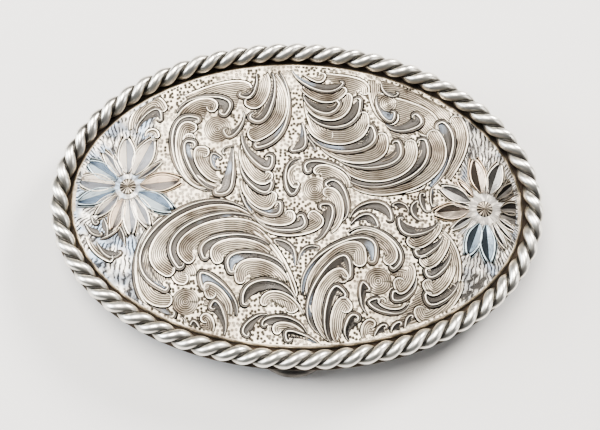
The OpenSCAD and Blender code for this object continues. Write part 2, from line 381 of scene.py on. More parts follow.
# The cuts of the two ends, and the punched ground between the leaves
endCuts = {
    "strokes": 104.0,          # how close the graver strokes stand round a daisy
    "wobble": 9.0,             # how far they stray from straight
    "crossing": (2.3, 0.42),   # the second set's closeness outwards and round the daisy
    "clearing": (2.2, 3.6),    # distance from a daisy's middle over which the strokes set in
    "from": (28.6, 29.6),      # distance from the plate's middle where an end begins
    "middle": 1.5,             # x of the plate's engraved middle
    "ragged": 3.0,             # how uneven the border of an end is
    "outwards": 0.16,          # how quickly the facets change away from a daisy
    "scales": {"breaks": 0.8, "bunches": 5.0, "patches": 0.34, "facets": 3.2, "tints": 0.22},
    "rightMore": {"bunches": 0.13, "patches": 0.07, "facets": 0.09, "tints": -0.12},  # at the right end, with stronger painted facet shade and a weaker painted cool reflection
    "cool": 0.9,               # strength of the painted cool reflection
    "grey": 0.68,              # of the painted shade on the grey facets
    "cut": 0.92,               # of the strokes
}
punched = {
    "scale": 1400.0,           # dots along a metre of the ground
    "scatter": 0.75,
    "dot": (0.42, 0.29),       # distance from a dot's middle where it starts and is full
    "wornScale": 170.0,        # worn strips, where the dots are fainter
    "worn": (0.36, 0.52, 0.5, 0.95),
}


def makeEndCuts():
    # the ends of the plate: graver strokes, soft facets in painted shade that spread from the nearer daisy,
    # and a painted cool reflection
    group, given = newGroup("endCuts", {"Vector": None})
    scales, more = endCuts["scales"], endCuts["rightMore"]
    spot = addNode(group, "VectorMath", {0: given["Vector"], 3: 1 / mm}, operation="SCALE").outputs[0]
    parts = addNode(group, "SeparateXYZ", {0: spot}).outputs
    right = addMath(group, "GREATER_THAN", parts[0], 0.0)
    x, y = (
        addMath(group, "SUBTRACT", part, times(group, right, b - a, a))
        for part, a, b in zip(parts, daisies["left"]["centre"], daisies["right"]["centre"])
    )
    reach = addMath(group, "SQRT", addMath(group, "ADD", times(group, x, x), times(group, y, y)))
    ray = addNode(group, "CombineXYZ", {
        0: addMath(group, "DIVIDE", x, reach),
        1: addMath(group, "DIVIDE", y, reach),
        2: times(group, reach, endCuts["outwards"]),
    }).outputs[0]
    breaks = addNoise(group, spot, scales["breaks"], 2.0)
    angle = times(group, addMath(group, "ARCTAN2", y, x), endCuts["strokes"])
    outwards, around = endCuts["crossing"]
    swirl = times(group, reach, outwards, times(group, angle, around))
    strokes, crossing = (
        addMath(group, "SINE", times(group, breaks, endCuts["wobble"], course)) for course in (angle, swirl)
    )
    broken = times(group, breaks, 0.6, times(group, right, more["bunches"]))
    bunches = addMath(group, "ADD", addNoise(group, ray, scales["bunches"], 2.0), broken)
    cut = times(group, addRange(group, strokes, 0.0, 0.8), addRange(group, bunches, 0.68, 0.82))
    patches = times(group, right, more["patches"], addNoise(group, spot, scales["patches"], 1.0))
    crossed = times(group, addRange(group, crossing, 0.1, 0.8), addRange(group, patches, 0.50, 0.60))
    clearing = addRange(group, reach, *endCuts["clearing"], 0.25, 1.0)
    facets = times(group, right, more["facets"], addNoise(group, ray, scales["facets"], 1.0))
    tints = times(group, right, more["tints"], addNoise(group, spot, scales["tints"], 2.0))
    fromMiddle = addMath(group, "ABSOLUTE", addMath(group, "SUBTRACT", parts[0], endCuts["middle"]))
    return closeGroup(group, {
        "Mask": addRange(group, times(group, breaks, endCuts["ragged"], fromMiddle), *endCuts["from"]),
        "Line": times(group, clearing, addMath(group, "MAXIMUM", cut, crossed)),
        "Facet": addRange(group, facets, 0.44, 0.58),
        "Tint": addRange(group, tints, 0.44, 0.58),
    })


def groundMetal():
    # pale ground with punched dots, and the two ends with their own cuts, painted facet shade and painted
    # cool reflection
    material, tree, place, dulling, pits = newMetal("stippled ground", 0.40)
    links = {"Vector": place, "Scale": punched["scale"], "Randomness": punched["scatter"]}
    cells = addNode(tree, "TexVoronoi", links, voronoi_dimensions="2D").outputs["Distance"]
    dots = addRange(tree, cells, *punched["dot"])
    depth = addRange(tree, addNoise(tree, place, punched["wornScale"], 1.0), *punched["worn"])
    ends = addNode(tree, "Group", {"Vector": place}, node_tree=makeEndCuts()).outputs
    base = addMix(tree, dulling, "ground", "groundDull")
    dotted = addMix(tree, times(tree, dots, depth), base, "punchMark")
    # a painted cool reflection, then painted shade on the facets, then the graver strokes
    tinted = addMix(tree, times(tree, ends["Tint"], endCuts["cool"]), "endLight", "endCoolReflection")
    facet = addMix(tree, times(tree, ends["Facet"], endCuts["grey"]), tinted, "endShadeGrey")
    streaked = addMix(tree, times(tree, ends["Line"], endCuts["cut"]), facet, "endCut")
    low = addNode(tree, "Mix", {0: ends["Mask"], 2: dots, 3: ends["Line"]}, data_type="FLOAT").outputs[0]
    height = addMath(tree, "SUBTRACT", times(tree, pits, 0.4), low)
    return finishMetal(material, addMix(tree, ends["Mask"], dotted, streaked), height, "ground")


rimWear = {
    "scale": 260.0,            # worn stretches, where outline and bright line come near each other
    "worn": (0.48, 0.68, 0.0, 0.38),
    "tarnish": 0.35,
}
hollow = {
    "outer": (0.30, 0.0),      # painted shade in strips along the edges
    "inner": (0.45, 1.0),
    "innerDark": 0.8,
    "darkScale": 95.0,         # whole leaves or parts of them that are darker
    "dark": (0.42, 0.58),
    "coolScale": 130.0,        # the few with a painted cool reflection
    "cool": (0.57, 0.64),
    "lines": 0.25,
    "tarnish": 0.10,
}


def rimMetal(name, stops):
    # the outline and rim of a leaf, coloured by the mark that runs from its foot inwards
    material, tree, place, dulling, pits = newMetal(name, 0.38)
    colour = addRamp(tree, readMarks(tree)[0], stops)
    worn = addRange(tree, addNoise(tree, place, rimWear["scale"], 2.0), *rimWear["worn"])
    colour = addMix(tree, worn, colour, "hatchDull")
    shade = addMix(tree, times(tree, dulling, rimWear["tarnish"]), (1, 1, 1), "rimShade")
    return finishMetal(material, addMix(tree, 1.0, colour, shade, "MULTIPLY"), pits, "smooth")


def hollowMetal():
    # the smooth hollow of a banded leaf, with painted shade along both its edges and a painted cool
    # reflection on a few
    material, tree, place, dulling, pits = newMetal("smooth hollow", 0.34)
    across = readMarks(tree)[0]
    outer = addRange(tree, across, *hollow["outer"])
    inner = times(tree, addRange(tree, across, *hollow["inner"]), hollow["innerDark"])
    dark = addRange(tree, addNoise(tree, place, hollow["darkScale"], 2.0), *hollow["dark"])
    cool = addRange(tree, addNoise(tree, place, hollow["coolScale"], 1.0), *hollow["cool"])
    lines = addCutLines(tree, across, "hollow", place)["Line"]
    colour = addMix(tree, dark, "field", "fieldDark")
    for strength, over in (
        (cool, "fieldCoolReflection"),
        (addMath(tree, "MAXIMUM", outer, inner), "fieldEdgeShade"),
        (times(tree, lines, hollow["lines"]), "outline"),
        (times(tree, dulling, hollow["tarnish"]), "hatchDull"),
    ):
        colour = addMix(tree, strength, colour, over)
    return finishMetal(material, colour, pits, "smooth")


def hatchMetal():
    material, tree, place, dulling, pits = newMetal("hatched leaf", 0.42)
    cuts = addCutLines(tree, readMarks(tree)[0], "leaf", place)
    land = addMix(tree, dulling, "hatchLand", "hatchDull")
    colour = addMix(tree, times(tree, cuts["Line"], 0.94), land, "hatchCut")
    return finishMetal(material, colour, cuts["Height"], "leaf")


def plainMetal(name, tone, rough, metallic=1.0):
    material, tree, place, dulling, pits = newMetal(name, rough, metallic=metallic)
    return finishMetal(material, addMix(tree, dulling, tone, tone + "Dull"), pits, "smooth")


bandedRim = rimMetal("banded rim", [
    (0.0, "outline"), (0.27, "outline"), (0.33, "rim"), (0.45, "rim"), (0.52, "outline"), (0.59, "outline"),
    (0.67, "bright"), (0.80, "bright"), (0.88, "fieldDark"), (1.0, "fieldDark"),
])
hatchedRim = rimMetal("hatched rim", [
    (0.0, "outline"), (0.50, "outline"), (0.60, "bright"), (0.80, "bright"), (1.0, "hatchLand"),
])
smoothHollow = hollowMetal()
hatchedLeaf = hatchMetal()
plateEdge = plainMetal("plate edge", "edge", 0.42)
crevice = plainMetal("crevice", "crevice", 0.7, 0.2)
# darker than the face: painted shade on the back, the loop and the hook
shadedBackMetal = plainMetal("shaded back metal", "back", 0.42)
print("plate materials made")


# Plate: the bowed body and its rounded panel, without the engraving

plate = {
    "sides": 192,
    "backRings": 10,
    "topRings": 26,
    "rimRound": 0.6,    # rounding of the panel's upper edge
    "rimStep": 18,      # degrees of that rounding from ring to ring
    "rimBead": 0.05,    # the edge stands a little proud
    "inRim": 0.975,     # share of the panel inside its rounded edge
    "groundTo": 0.98,   # share of the panel that has the ground's finish
    "sideFrom": 0.3,    # distance from back and face over which they keep their own finish
}


def plateRings():
    # every ring from the middle of the back to the middle of the face: half-width, half-height, lift
    flangeA = ringA + ropeR - buckle["seat"]
    flangeB = ringB + ropeR - buckle["seat"]
    for k in range(1, plate["backRings"] + 1):
        share = k / plate["backRings"]
        yield flangeA * share, flangeB * share, 0.0
    yield flangeA, flangeB, buckle["flange"]
    for share in (0.5, 1.0):
        yield flangeA + (panelA - flangeA) * share, flangeB + (panelB - flangeB) * share, buckle["flange"]
    for angle in range(0, 91, plate["rimStep"]):
        inset = plate["rimRound"] * (1 - cos(radians(angle)))
        drop = plate["rimRound"] * (1 - sin(radians(angle)))
        yield panelA - inset, panelB - inset, topH + plate["rimBead"] - drop
    for k in range(plate["topRings"]):
        share = plate["inRim"] * (1 - k / plate["topRings"])
        yield panelA * share, panelB * share, topH + buckle["crown"] * (1 - share ** 2)


def makePlate():
    bm = bmesh.new()
    ring = bmesh.ops.create_circle(bm, segments=plate["sides"], radius=1.0)["verts"]
    shares = [(v.co.x, v.co.y) for v in ring]
    first = ring
    for number, (a, b, h) in enumerate(plateRings()):
        if number > 0:
            old = set(ring)
            edges = [e for e in bm.edges if e.verts[0] in old and e.verts[1] in old]
            fresh = newVerts(bmesh.ops.extrude_edge_only(bm, edges=edges))
            above = {edge.other_vert(vert): vert for vert in fresh for edge in vert.link_edges}
            ring = [above[v] for v in ring]
        for vert, (x, y) in zip(ring, shares):
            vert.co = onBow(a * x, b * y, h)
    for loop in (first, ring):
        bmesh.ops.contextual_create(bm, geom=loop)
    bmesh.ops.recalc_face_normals(bm, faces=bm.faces[:])
    for face in bm.faces:
        middle = face.calc_center_median() / mm
        height = hypot(middle.x, middle.z - bowZ) - bowR
        rho = hypot(middle.x / panelA, middle.y / panelB)
        if height < plate["sideFrom"]:
            face.material_index = 3
        elif height < topH - plate["sideFrom"]:
            face.material_index = 2
        elif rho > plate["groundTo"]:
            face.material_index = 1
    piece = finishPiece("plate_body", bm, [groundMetal(), plateEdge, crevice, shadedBackMetal])
    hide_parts("face_plate")


makePlate()
print("plate made")


# Scroll leaves, outermost first in each group

band, hatch = "banded", "hatched"  # a leaf with a smooth hollow, and one cut with fine lines
leafShape = {
    "rows": 28,
    "capRows": 10,
    "capTurn": 172,       # degrees that the rounded tip turns
    "tipShare": 0.44,     # radius of the rounded tip over the leaf's width
    "tipSlim": 0.55,      # how much the outline thins out round the tip
    "tightest": 0.95,     # share of the tip's radius that the outline may fill
    "rootWidth": 0.2,     # width of the outline where the leaf starts
    "growth": 1.5,        # how fast it grows from there
    "rootRise": (0.5, 2.0),                  # the same for its height
    "edgeWidth": {band: 0.92, hatch: 0.34},  # of the outline, rim and bright line
    "bladeColumns": 7,
    "bladeTipRows": 5,
    "bladeTurn": 88,      # degrees that the field turns into the tip
    "bladeStart": 0.85,   # share of the outline's width where the field starts
    "bladeMost": 0.8,     # share of the tip's radius that it leaves to the outline at most
    "bladeLeast": 0.1,    # least width of the field
    "rootSpread": (0.18, 1.45),              # share of the field's width at the root, and its growth
    "tipFrom": 0.75,      # share of the leaf's length where the field turns towards the tip
    "hollow": (0.12, 0.07, 0.06),            # lift of a smooth field, its dip and its fall inwards
    "hatched": (0.15, 0.12, 0.45),           # lift of a hatched field, its fall, and where that ends
    "rise": 0.004,        # each leaf lies this much over the one outside it
    "lowest": 0.032,      # no leaf lies lower than this
    "under": -0.158,      # lift of the plain pieces under the leaves
    "lowestUnder": 0.012,
    "spread": {band: 1.35, hatch: 2.1},      # how far a leaf reaches under the next one
    "depth": 0.30,        # how far the leaf's underside lies in the plate
}
# A row gives a leaf's kind and width, then x and y of four points along its outer edge: its root, one third
# and two thirds of the way, and its tip
scrolls = {}
scrolls["right fan"] = [
    (hatch, 3.0, 27.4, 4.8, 29.9, 8.8, 31.0, 13.4, 29.0, 17.8),
    (band, 3.4, 24.0, 3.2, 27.3, 7.2, 28.7, 12.6, 25.8, 16.8),
    (hatch, 3.2, 9.5, 2.8, 18.4, 1.9, 25.9, 6.9, 24.9, 14.8),
    (band, 3.0, 8.5, 4.2, 16.0, 2.8, 22.7, 6.6, 23.1, 13.2),
    (hatch, 2.6, 7.5, 6.5, 13.7, 3.8, 20.0, 6.3, 21.0, 12.4),
    (band, 2.5, 6.5, 8.2, 12.0, 6.0, 17.9, 7.5, 18.2, 12.6),
]
scrolls["top fan"] = [
    (hatch, 2.4, 3.4, 10.6, 8.7, 7.3, 14.7, 8.2, 15.7, 13.5),
    (band, 2.3, 1.6, 12.6, 6.6, 9.0, 13.0, 10.1, 13.3, 15.3),
    (hatch, 2.3, 1.0, 14.4, 5.4, 10.7, 11.1, 11.8, 12.3, 17.3),
    (band, 2.4, 1.2, 16.4, 5.4, 13.5, 10.0, 14.7, 11.5, 20.2),
    (hatch, 2.2, 0.9, 18.0, 4.0, 15.2, 8.0, 15.9, 9.6, 20.6),
    (band, 2.4, 0.4, 19.8, 2.4, 16.7, 5.6, 16.0, 8.0, 18.9),
    (hatch, 1.8, 0.0, 21.0, 2.6, 18.9, 6.0, 18.6, 8.9, 21.2),
    (band, 1.6, -1.9, 24.8, 0.7, 21.6, 5.0, 20.3, 8.4, 22.6),
    (hatch, 1.4, 0.4, 23.8, 2.0, 22.7, 3.8, 22.4, 4.8, 24.2),
]
scrolls["top leaves"] = [
    (band, 2.2, -3.9, 24.6, -1.5, 18.5, -2.8, 12.1, -8.2, 9.0),
    (hatch, 3.6, -4.6, 24.2, -2.1, 18.6, -3.6, 13.6, -8.6, 10.3),
    (band, 2.4, -5.2, 24.4, -4.3, 19.4, -6.0, 14.7, -9.9, 15.2),
    (hatch, 2.4, -6.2, 24.2, -5.5, 20.6, -7.2, 17.3, -10.5, 18.0),
    (band, 1.8, -8.2, 24.2, -7.7, 21.2, -9.0, 18.9, -11.8, 19.4),
]
scrolls["top drop"] = [
    (band, 1.8, 0.6, 14.8, 1.5, 12.4, 1.4, 9.8, -1.8, 8.7),
    (band, 0.8, 1.4, 12.6, 2.0, 11.6, 2.8, 10.6, 3.4, 9.3),
]
scrolls["top right curls"] = [
    (band, 1.7, 14.0, 20.5, 14.1, 17.0, 16.4, 15.0, 17.8, 17.7),
    (band, 2.2, 15.5, 14.8, 19.1, 13.3, 22.6, 14.9, 21.0, 18.0),
    (band, 1.2, 14.9, 23.0, 14.9, 21.2, 16.6, 20.0, 18.4, 21.0),
]
scrolls["upper left scroll"] = [
    (band, 2.2, -15.2, 1.2, -22.2, 5.8, -23.2, 13.6, -17.5, 15.4),
    (hatch, 2.2, -16.0, 1.8, -21.3, 5.6, -22.2, 12.6, -18.2, 13.6),
    (band, 2.4, -14.6, 1.6, -19.2, 4.4, -21.3, 9.7, -18.0, 10.8),
    (hatch, 2.4, -13.8, 2.9, -17.8, 5.2, -18.9, 8.9, -15.8, 9.3),
    (band, 1.2, -13.6, 5.5, -15.7, 6.0, -15.9, 8.4, -13.4, 7.6),
    (band, 0.8, -11.9, 10.0, -12.8, 9.9, -13.7, 9.3, -13.6, 8.0),
]
scrolls["upper left crest"] = [
    (band, 2.6, -22.6, 16.0, -18.5, 19.5, -13.0, 19.2, -13.5, 14.8),
    (hatch, 2.4, -22.4, 15.4, -18.8, 18.8, -15.4, 18.6, -15.6, 16.0),
    (band, 1.7, -10.3, 16.6, -10.1, 13.6, -12.2, 11.2, -14.3, 13.2),
]
scrolls["left shoulder"] = [
    (hatch, 2.0, -31.0, 12.6, -30.0, 17.0, -26.8, 19.3, -23.9, 16.6),
    (band, 1.6, -29.5, 12.0, -29.0, 15.2, -26.2, 17.2, -24.7, 14.2),
    (hatch, 1.2, -28.0, 11.4, -27.4, 12.9, -25.9, 12.9, -25.2, 11.2),
]
scrolls["spur"] = [
    (band, 2.2, -11.7, 9.8, -11.1, 5.4, -11.6, 1.4, -15.3, 0.5),
    (band, 1.2, -10.4, 1.4, -9.8, -0.4, -9.0, -1.8, -8.0, -3.0),
]
scrolls["middle cascade"] = [
    (hatch, 2.4, -6.6, -4.2, -1.6, -6.6, 4.2, -4.9, 2.6, -1.3),
    (band, 2.2, -7.6, -2.6, -4.2, -5.7, 1.0, -5.5, 1.0, -1.7),
    (hatch, 2.2, -8.0, -1.8, -5.4, -4.4, -1.2, -4.4, -0.8, -1.5),
    (band, 2.1, -9.2, 1.0, -7.4, -2.2, -3.6, -3.2, -2.6, 0.3),
    (hatch, 2.3, -10.2, 3.6, -8.9, 0.0, -5.6, -1.9, -3.4, 1.4),
    (band, 2.1, -10.4, 7.2, -9.3, 3.0, -5.9, 0.8, -4.0, 3.9),
    (hatch, 2.2, -10.7, 9.4, -9.9, 5.6, -7.0, 2.8, -4.1, 4.6),
    (band, 2.5, -10.4, 12.4, -9.1, 7.6, -5.6, 5.1, -4.1, 8.8),
]
scrolls["middle scroll"] = [
    (band, 2.0, 9.6, 4.0, 6.4, 7.3, 1.8, 7.8, 1.3, 4.6),
    (hatch, 1.8, 9.4, 2.6, 8.0, 5.6, 4.6, 6.9, 2.6, 5.4),
    (band, 1.9, 7.8, -3.8, 9.5, 0.0, 7.6, 4.0, 4.2, 3.2),
    (hatch, 2.2, 6.2, -5.8, 8.4, -2.0, 7.4, 1.8, 4.4, 2.4),
    (band, 2.0, 3.0, -7.4, 6.0, -5.0, 6.8, -1.0, 3.4, -0.3),
    (band, 1.8, 0.6, 8.0, -2.7, 5.3, -1.8, 1.1, 0.7, 2.7),
    (hatch, 1.6, 0.2, 7.0, -1.9, 5.0, -1.2, 2.6, 0.4, 2.8),
]
scrolls["left fan"] = [
    (band, 2.2, -24.5, -3.2, -28.5, -10.0, -27.4, -18.0, -20.4, -21.8),
    (hatch, 3.0, -24.0, -3.4, -27.9, -9.6, -27.2, -17.0, -21.2, -19.4),
    (band, 2.2, -7.0, -3.4, -19.0, -0.7, -27.7, -8.8, -22.2, -17.4),
    (hatch, 3.0, -7.0, -3.8, -17.3, -1.5, -25.4, -7.8, -21.8, -14.6),
    (band, 2.4, -5.0, -5.0, -13.6, -2.2, -21.7, -6.1, -20.4, -13.5),
    (hatch, 2.6, -5.0, -5.8, -13.0, -3.5, -20.2, -7.0, -18.6, -12.2),
    (band, 2.2, -4.5, -8.0, -10.2, -5.9, -16.1, -7.2, -16.3, -11.6),
    (hatch, 2.4, -4.2, -9.2, -9.6, -7.0, -14.4, -8.2, -14.0, -12.1),
    (band, 2.3, -1.4, -13.0, -5.4, -9.4, -11.2, -9.4, -11.6, -14.0),
    (hatch, 2.2, -1.0, -14.6, -4.6, -11.0, -9.4, -11.0, -10.2, -15.4),
    (band, 2.2, 0.6, -18.5, -3.0, -14.2, -8.0, -14.6, -9.4, -19.4),
    (hatch, 1.8, 1.8, -20.2, -1.4, -16.6, -4.8, -16.4, -6.0, -18.8),
]
scrolls["lower left scroll"] = [
    (band, 2.4, -9.9, -21.0, -11.6, -15.6, -16.2, -12.7, -16.3, -17.0),
    (hatch, 2.4, -10.8, -20.8, -12.2, -16.6, -15.4, -14.9, -15.2, -18.3),
    (band, 1.9, -12.0, -24.4, -11.6, -20.6, -13.4, -17.8, -15.3, -19.8),
    (hatch, 2.0, -13.8, -23.6, -13.9, -21.4, -15.2, -20.3, -16.5, -21.4),
    (band, 1.3, -16.0, -24.2, -16.2, -22.4, -17.4, -21.4, -18.4, -23.0),
    (band, 0.6, -19.8, -21.0, -19.3, -21.1, -18.8, -21.6, -18.7, -22.4),
]
scrolls["lower curls"] = [
    (band, 1.7, -4.4, -20.4, -7.2, -20.6, -9.2, -22.8, -7.8, -24.8),
    (band, 1.6, 2.4, -23.4, -0.8, -20.4, -4.8, -20.6, -5.6, -22.8),
    (hatch, 1.8, 2.6, -24.4, -0.2, -21.8, -3.2, -21.8, -3.2, -24.0),
    (band, 2.0, 4.9, -25.6, 2.2, -23.4, -1.2, -22.6, -1.4, -25.6),
]
scrolls["lower right fan"] = [
    (band, 2.4, 1.2, -17.0, 4.2, -9.0, 12.0, -5.7, 14.2, -11.4),
    (hatch, 3.0, 2.0, -17.0, 4.2, -10.4, 10.0, -6.9, 12.4, -11.6),
    (band, 2.6, 4.9, -24.0, 2.3, -16.2, 7.3, -9.3, 10.2, -14.2),
    (hatch, 2.6, 5.6, -24.6, 3.2, -17.4, 6.4, -12.2, 9.6, -13.8),
    (band, 2.2, 6.6, -25.2, 4.8, -20.2, 6.2, -15.0, 9.8, -16.8),
    (hatch, 2.8, 7.4, -25.2, 6.2, -20.8, 7.8, -17.1, 10.5, -18.9),
    (band, 2.2, 9.4, -24.6, 8.4, -22.0, 9.6, -19.6, 12.0, -20.4),
    (hatch, 1.8, 12.0, -24.2, 11.6, -22.0, 12.8, -20.6, 14.4, -21.3),
    (band, 1.5, 13.9, -24.0, 14.0, -22.4, 15.2, -21.2, 16.6, -21.7),
    (band, 1.5, 17.0, -23.2, 16.6, -22.0, 17.6, -20.8, 19.0, -20.8),
    (band, 1.3, 19.2, -22.6, 19.0, -21.2, 19.6, -19.8, 20.9, -19.5),
]
scrolls["fork"] = [
    (band, 1.4, 0.0, -12.0, 0.2, -9.4, -1.2, -7.4, -4.2, -6.8),
    (band, 1.2, 0.2, -11.6, 0.6, -9.2, 2.0, -7.9, 4.4, -8.0),
]
scrolls["right eye"] = [
    (band, 1.6, 12.6, -19.8, 11.0, -17.0, 11.4, -14.0, 13.7, -15.6),
    (band, 1.8, 20.2, -17.8, 16.6, -20.0, 12.7, -18.4, 14.9, -16.4),
    (hatch, 1.5, 19.6, -17.6, 17.4, -19.0, 14.8, -18.2, 15.4, -16.6),
]
scrolls["right wing"] = [
    (band, 1.8, 9.2, -3.0, 11.7, 0.2, 15.6, 0.4, 17.3, -3.5),
    (band, 1.7, 9.4, -4.0, 11.4, -1.8, 13.6, -1.9, 15.0, -4.5),
    (band, 2.2, 9.0, -5.4, 14.6, -4.5, 18.9, -8.2, 17.0, -12.6),
    (hatch, 2.6, 9.4, -5.8, 14.2, -5.0, 17.8, -8.2, 16.2, -11.4),
]
scrolls["right cascade"] = [
    (hatch, 2.6, 29.6, -13.4, 28.0, -17.8, 23.6, -21.2, 20.6, -18.4),
    (band, 2.4, 29.0, -13.4, 27.0, -17.0, 23.8, -18.4, 22.2, -15.3),
    (hatch, 2.4, 28.2, -10.6, 27.4, -13.8, 24.6, -16.3, 22.0, -13.8),
    (band, 2.0, 27.6, -8.4, 26.4, -11.9, 23.8, -13.5, 22.3, -11.2),
    (hatch, 2.2, 27.4, -6.0, 26.4, -9.0, 24.0, -11.4, 21.4, -9.9),
    (band, 1.9, 26.2, -5.4, 24.8, -8.2, 22.0, -9.8, 20.5, -7.8),
    (hatch, 2.2, 26.0, -3.6, 24.4, -6.4, 21.6, -8.0, 19.2, -6.6),
    (band, 1.9, 25.4, -3.0, 22.9, -5.4, 19.2, -5.8, 17.6, -2.0),
    (band, 1.1, 20.0, -1.6, 19.6, 0.0, 18.0, 0.6, 16.6, -0.3),
    (band, 1.3, 22.6, -2.8, 20.8, -2.5, 20.0, -0.6, 21.6, 1.2),
    (band, 1.1, 24.4, -0.7, 22.3, -0.9, 21.6, 1.7, 23.2, 2.1),
    (band, 1.0, 25.3, 0.3, 23.8, 0.0, 23.6, 2.3, 24.2, 3.3),
]
scrolls["right cascade inner"] = [
    (hatch, 2.6, 20.2, -10.4, 21.0, -13.6, 18.8, -16.2, 17.0, -13.4),
    (band, 1.9, 21.3, -12.6, 20.4, -16.6, 17.4, -17.8, 16.9, -15.0),
]
scrolls["left foot"] = [
    (band, 1.2, -38.0, -4.6, -37.0, -6.4, -35.6, -7.2, -34.2, -7.0),
    (band, 1.1, -36.9, -3.2, -36.6, -4.6, -35.8, -5.2, -34.9, -4.4),
    (band, 1.3, -35.6, -8.0, -34.4, -10.2, -32.4, -11.2, -30.4, -10.0),
    (band, 1.5, -34.9, -7.7, -33.8, -7.6, -32.6, -7.0, -31.4, -5.9),
    (band, 1.0, -33.4, -7.6, -33.3, -6.0, -33.6, -4.8, -34.3, -3.4),
    (band, 1.0, -30.0, -8.8, -30.2, -7.4, -30.6, -6.2, -31.4, -5.0),
    (hatch, 1.6, -37.6, -7.0, -36.4, -9.4, -34.6, -11.0, -32.4, -12.0),
]
# Plain hatched pieces that fill the ground under the leaves
underLeaves = [
    (hatch, 6.4, 14.6, 23.6, 20.6, 23.2, 26.0, 20.3, 28.6, 16.6),
    (hatch, 5.6, 14.2, 21.2, 18.6, 20.0, 23.6, 18.2, 25.6, 14.6),
    (hatch, 3.4, 12.4, 23.4, 12.6, 19.6, 14.2, 16.2, 17.6, 14.6),
    (hatch, 3.2, -21.2, 19.4, -16.4, 21.6, -11.8, 22.6, -8.6, 21.6),
    (hatch, 2.6, 26.2, -4.4, 28.6, -7.4, 29.4, -11.4, 28.4, -15.6),
    (hatch, 2.4, 4.4, 24.4, 8.2, 24.2, 11.8, 23.2, 12.6, 20.4),
    (hatch, 2.4, -15.6, 1.0, -13.2, 0.2, -10.4, -1.4, -8.2, -3.6),
    (hatch, 2.6, -20.2, -10.4, -21.6, -12.6, -21.4, -14.8, -18.8, -15.6),
    (hatch, 3.0, 17.4, -22.6, 22.2, -21.0, 26.4, -18.4, 29.2, -14.6),
    (hatch, 3.4, 0.2, 23.6, 0.6, 19.0, 1.6, 14.6, 4.6, 10.4),
    (hatch, 3.6, -16.0, -2.6, -8.4, -4.0, -2.6, -9.4, 0.9, -17.4),
    (hatch, 3.0, -9.6, -4.4, -4.4, -8.0, -1.4, -12.6, 1.2, -19.6),
    (hatch, 2.4, -10.6, 11.8, -10.2, 7.0, -8.8, 1.4, -4.8, -4.4),
    (hatch, 3.0, 9.0, 3.4, 13.4, 1.8, 19.0, 1.9, 23.4, 3.6),
    (hatch, 2.6, 1.6, -14.4, 2.6, -19.0, 4.2, -22.6, 6.6, -25.4),
    (hatch, 2.6, -14.2, 2.2, -18.2, 4.2, -20.8, 8.2, -20.6, 12.4),
]
# Profiles across an edge: distance in edge widths from the leaf's outline, lift in mm, mark
bandedProfile = [
    (-0.14, 0.012, 0.0), (-0.05, 0.08, 0.16), (0.04, 0.15, 0.25), (0.14, 0.19, 0.30), (0.28, 0.17, 0.40),
    (0.50, 0.13, 0.58), (0.64, 0.21, 0.70), (0.76, 0.21, 0.80), (0.90, 0.12, 0.92), (1.05, 0.08, 1.0),
]
hatchedProfile = [
    (-0.50, 0.012, 0.0), (-0.20, 0.08, 0.35), (0.15, 0.15, 0.5), (0.45, 0.18, 0.62), (0.80, 0.15, 0.85),
    (1.1, 0.13, 1.0),
]


def throughFour(points, t):
    # the smooth curve that passes its four points at 0, 1/3, 2/3 and 1
    weights = (
        -(3 * t - 1) * (3 * t - 2) * (t - 1) / 2,
        9 * t * (3 * t - 2) * (t - 1) / 2,
        -9 * t * (3 * t - 1) * (t - 1) / 2,
        t * (3 * t - 1) * (3 * t - 2) / 2,
    )
    return sum((p * w for p, w in zip(points, weights)), Vector((0.0, 0.0)))


def walkEven(points, count, trim):
    # count + 1 points at even distances along a curve, stopping short of its end by trim
    pieces = 120
    fine = [throughFour(points, k / pieces) for k in range(pieces + 1)]
    walked = [0.0]
    for a, b in zip(fine, fine[1:]):
        walked.append(walked[-1] + (b - a).length)
    length = walked[-1] - trim
    return [fine[k].lerp(fine[k + 1], share) for k, share in evenSteps(walked, length, count)], length


def leafPath(width, places):
    # the leaf's outer edge and rounded tip: points, inward directions, distances walked
    points = [Vector(place) for place in zip(places[::2], places[1::2])]
    rows = leafShape["rows"]
    radius = leafShape["tipShare"] * width
    edge, length = walkEven(points, rows, radius)
    chord = points[3] - points[0]
    belly = edge[rows // 2] - points[0]
    side = -1.0 if chord.x * belly.y - chord.y * belly.x > 0 else 1.0
    inward = []
    for k in range(rows + 1):
        along = edge[min(k + 1, rows)] - edge[max(k - 1, 0)]
        inward.append(Vector((-along.y, along.x)).normalized() * side)
    walked = [length * k / rows for k in range(rows + 1)]
    ahead = (edge[-1] - edge[-2]).normalized()
    first = inward[-1]
    centre = edge[-1] + first * radius
    for k in range(1, leafShape["capRows"] + 1):
        angle = radians(leafShape["capTurn"]) * k / leafShape["capRows"]
        outward = -first * cos(angle) + ahead * sin(angle)
        edge.append(centre + outward * radius)
        inward.append(-outward)
        walked.append(length + radius * angle)
    return {"edge": edge, "inward": inward, "walked": walked, "radius": radius,
            "centre": centre, "ahead": ahead, "first": first}


def edgeRoom(path, width, i):
    # the outline's width at a row: slim at the root, full along the leaf and slim again past its tip
    along = i / leafShape["rows"]
    grow = min(1.0, leafShape["rootWidth"] / width + leafShape["growth"] * along)
    if along > 1:
        roundTip = (i - leafShape["rows"]) / leafShape["capRows"]
        grow = 1.0 - leafShape["tipSlim"] * max(0.0, roundTip - 0.5) / 0.5
    return min(width * grow, path["radius"] * leafShape["tightest"])


def onLeaf(spot, rise, lift):
    # no leaf dips too low, and the pieces under the leaves stay lower than the rest
    return onPanel(spot.x, spot.y, max(leafShape["lowestUnder" if lift < 0 else "lowest"], rise + lift))


